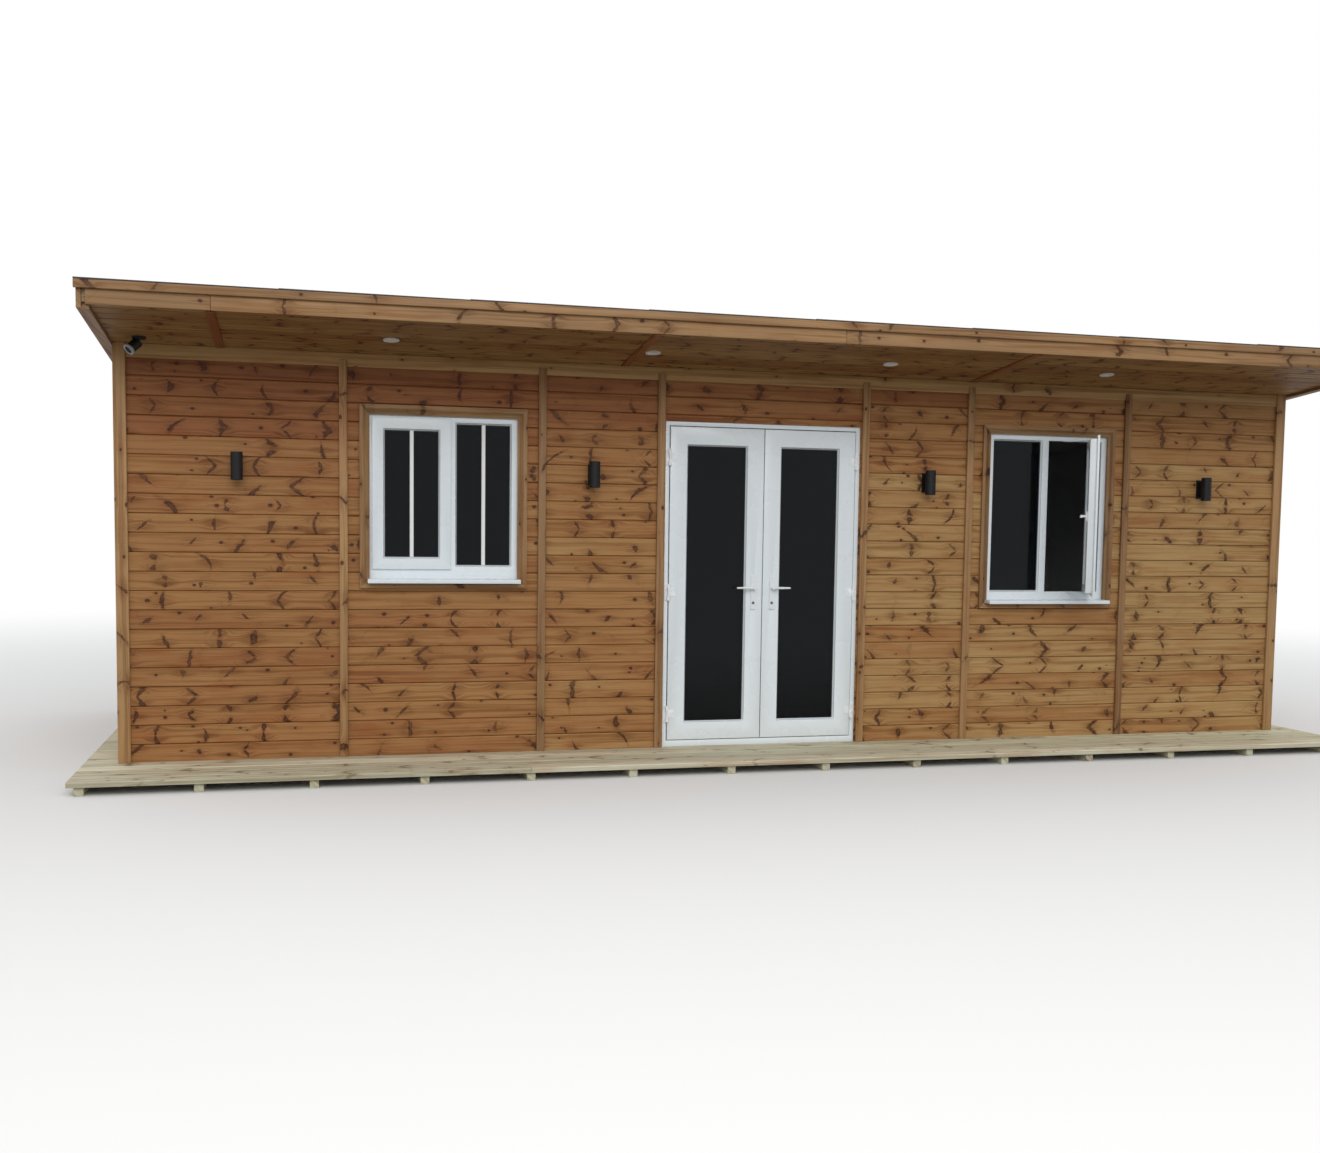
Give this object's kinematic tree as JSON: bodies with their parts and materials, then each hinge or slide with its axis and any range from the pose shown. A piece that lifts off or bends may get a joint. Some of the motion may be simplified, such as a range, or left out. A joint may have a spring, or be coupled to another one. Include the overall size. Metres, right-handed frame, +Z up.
{
  "type": "garden office pod",
  "caption": "Timber garden office on a decked base: pent roof with a front overhang, outward-opening glazed French doors and two casement windows.",
  "frame": {"origin": "on the ground, under the middle of the roof's plan", "axes": "+X to the right along the front with the doors in it, +Y from the front to the back, +Z up"},
  "size_m": [8.26, 3.99, 2.7122],
  "materials": {
    "base_timber": "sawn, pressure treated",
    "decking_timber": "planed and grooved, pressure treated",
    "floor_board": "satin",
    "wall_frame_timber": "sawn",
    "stained_cladding": "satin wood stain",
    "stained_trim": "satin wood stain",
    "painted_lining": "matt paint",
    "roof_felt": "matt mineral felt",
    "white_plastic": "semi-gloss",
    "glazing": "clear double glazing",
    "white_metal": "gloss powder coat",
    "black_metal": "satin powder coat",
    "stainless_steel": "brushed"
  },
  "bodies": {
    "root": {"base_joists": "base_timber", "decking": "decking_timber", "floor": "floor_board", "front_wall_left": "wall_frame_timber", "front_wall_over_door": "wall_frame_timber", "front_wall_right": "wall_frame_timber", "left_wall": "wall_frame_timber", "right_wall": "wall_frame_timber", "back_wall": "wall_frame_timber", "roof_panel": "wall_frame_timber", "front_cladding": "stained_cladding", "left_cladding": "stained_cladding", "right_cladding": "stained_cladding", "back_cladding": "stained_cladding", "soffit_boards": "stained_cladding", "soffit_cover_strips": "stained_trim", "front_fascia": "stained_trim", "front_roof_trim": "stained_trim", "bargeboards": "stained_trim", "back_fascia": "stained_trim", "eaves_bands": "stained_trim", "corner_trims": "stained_trim", "cover_strips": "stained_trim", "window_surrounds": "stained_trim", "wall_lining": "painted_lining", "ceiling_lining": "painted_lining", "roof_covering": "roof_felt", "door_frame": "white_plastic", "window_frames": "white_plastic", "window_sills": "white_plastic", "window_sashes": "white_plastic", "downlights": "white_plastic", "window_glass": "glazing", "door_frame_hinges": "white_metal", "window_handles": "white_metal", "wall_lights": "black_metal", "security_camera": "black_metal", "window_stays": "stainless_steel"},
    "left_leaf": {"left_door_leaf": "white_plastic", "left_door_glass": "glazing", "left_door_hinges": "white_metal", "left_door_plates": "white_metal"},
    "right_leaf": {"right_door_leaf": "white_plastic", "right_door_glass": "glazing", "right_door_hinges": "white_metal", "right_door_plates": "white_metal"},
    "left_lever": {"left_door_lever": "white_metal"},
    "right_lever": {"right_door_lever": "white_metal"}
  },
  "joints": [
    {"name": "left_door_swing", "type": "hinge", "parent": "root", "child": "left_leaf", "pos_m": [-0.634, -1.13, 1.078], "axis": [0, 0, 1], "range_deg": [-90, 0]},
    {"name": "right_door_swing", "type": "hinge", "parent": "root", "child": "right_leaf", "pos_m": [0.634, -1.13, 1.078], "axis": [0, 0, 1], "range_deg": [0, 90]},
    {"name": "left_lever_turn", "type": "hinge", "parent": "left_leaf", "child": "left_lever", "pos_m": [-0.064, -1.121, 1.108], "axis": [0, 1, 0], "range_deg": [-40, 40], "stiffness_Nm_per_rad": 4},
    {"name": "right_lever_turn", "type": "hinge", "parent": "right_leaf", "child": "right_lever", "pos_m": [0.064, -1.121, 1.108], "axis": [0, 1, 0], "range_deg": [-40, 40], "stiffness_Nm_per_rad": 4}
  ]
}
